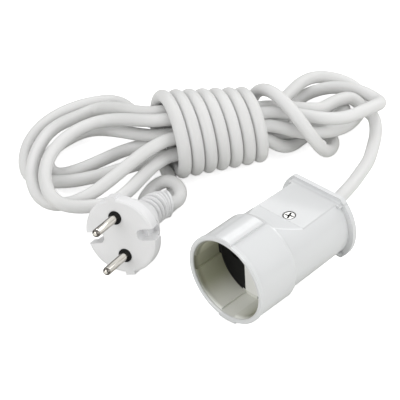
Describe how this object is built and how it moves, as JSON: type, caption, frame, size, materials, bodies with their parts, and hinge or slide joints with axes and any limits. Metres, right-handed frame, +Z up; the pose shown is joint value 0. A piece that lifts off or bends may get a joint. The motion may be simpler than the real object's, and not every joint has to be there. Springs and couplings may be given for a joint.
{
  "type": "extension cord",
  "caption": "Two-pole household extension cord: white round socket with a flanged rear cap, cord laid as a wound hank, and a moulded round plug.",
  "frame": {"origin": "on the floor, centred under the socket (bottom centre of the box round the socket)", "axes": "+Z up, +Y from the socket's mouth to its rear cap, so the mouth faces -Y and the cord leaves at +Y"},
  "size_m": [0.1883, 0.2001, 0.0469],
  "materials": {
    "socket_plastic": "gloss",
    "black_plastic": "satin",
    "brass": "satin",
    "steel": "satin",
    "nickel_pin": "polished",
    "cord_jacket": "satin",
    "plug_plastic": "satin",
    "wire_brown": "satin",
    "wire_blue": "satin"
  },
  "bodies": {
    "root": {"socket_shell": "socket_plastic", "socket_end_cap": "socket_plastic", "contact_carrier": "black_plastic", "contact_left": "brass", "contact_right": "brass", "terminal_screw_left": "steel", "terminal_screw_right": "steel", "cord_clamp": "socket_plastic", "clamp_screw_left": "steel", "clamp_screw_right": "steel", "body_screw": "steel", "body_nut": "steel", "wire_brown_socket": "wire_brown", "wire_blue_socket": "wire_blue", "cord_socket_tail": "cord_jacket", "cord_hank": "cord_jacket", "cord_winding": "cord_jacket", "cord_plug_tail": "cord_jacket", "plug_body": "plug_plastic", "plug_bridge": "black_plastic", "pin_upper": "nickel_pin", "pin_lower": "nickel_pin", "crimp_upper": "steel", "crimp_lower": "steel", "wire_brown_plug": "wire_brown", "wire_blue_plug": "wire_blue"}
  },
  "joints": []
}
